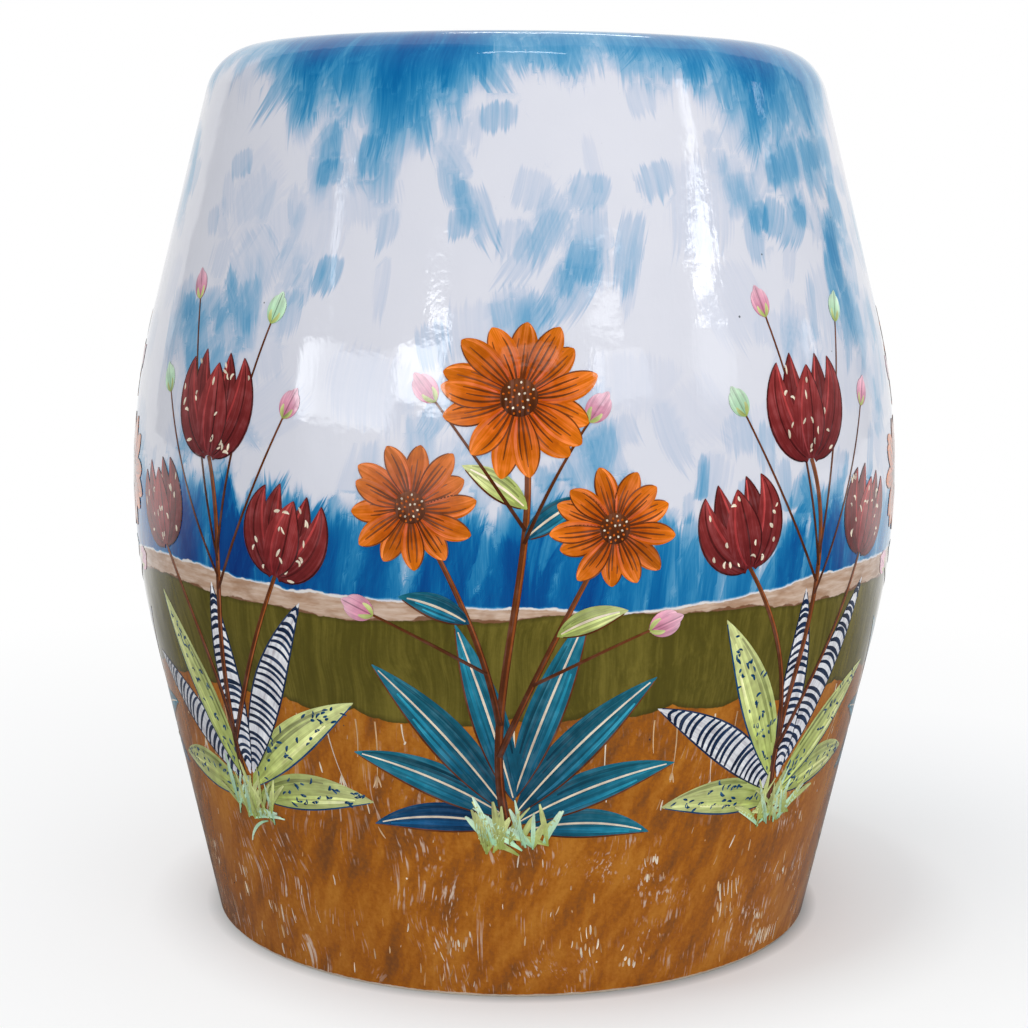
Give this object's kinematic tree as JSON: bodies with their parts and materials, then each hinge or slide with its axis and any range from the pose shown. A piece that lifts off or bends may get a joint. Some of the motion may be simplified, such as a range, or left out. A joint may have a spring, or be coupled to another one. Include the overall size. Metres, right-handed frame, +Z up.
{
  "type": "garden stool",
  "caption": "Barrel-shaped glazed ceramic garden stool with a domed closed seat, rounded waist and shoulder, and a turned foot ring; hollow and open underneath.",
  "frame": {"origin": "centre of the foot ring, on the floor", "axes": "+Z up along the axis of the barrel"},
  "size_m": [0.3942, 0.3942, 0.45],
  "materials": {
    "pale_glaze": "gloss",
    "ochre_glaze": "gloss",
    "bare_clay": "matte"
  },
  "bodies": {
    "root": {"foot_ring": "ochre_glaze", "lower_wall": "ochre_glaze", "upper_wall": "pale_glaze", "seat_top": "pale_glaze", "foot_seam_coil": "bare_clay", "waist_seam_coil": "bare_clay", "seat_seam_coil": "bare_clay"}
  },
  "joints": []
}
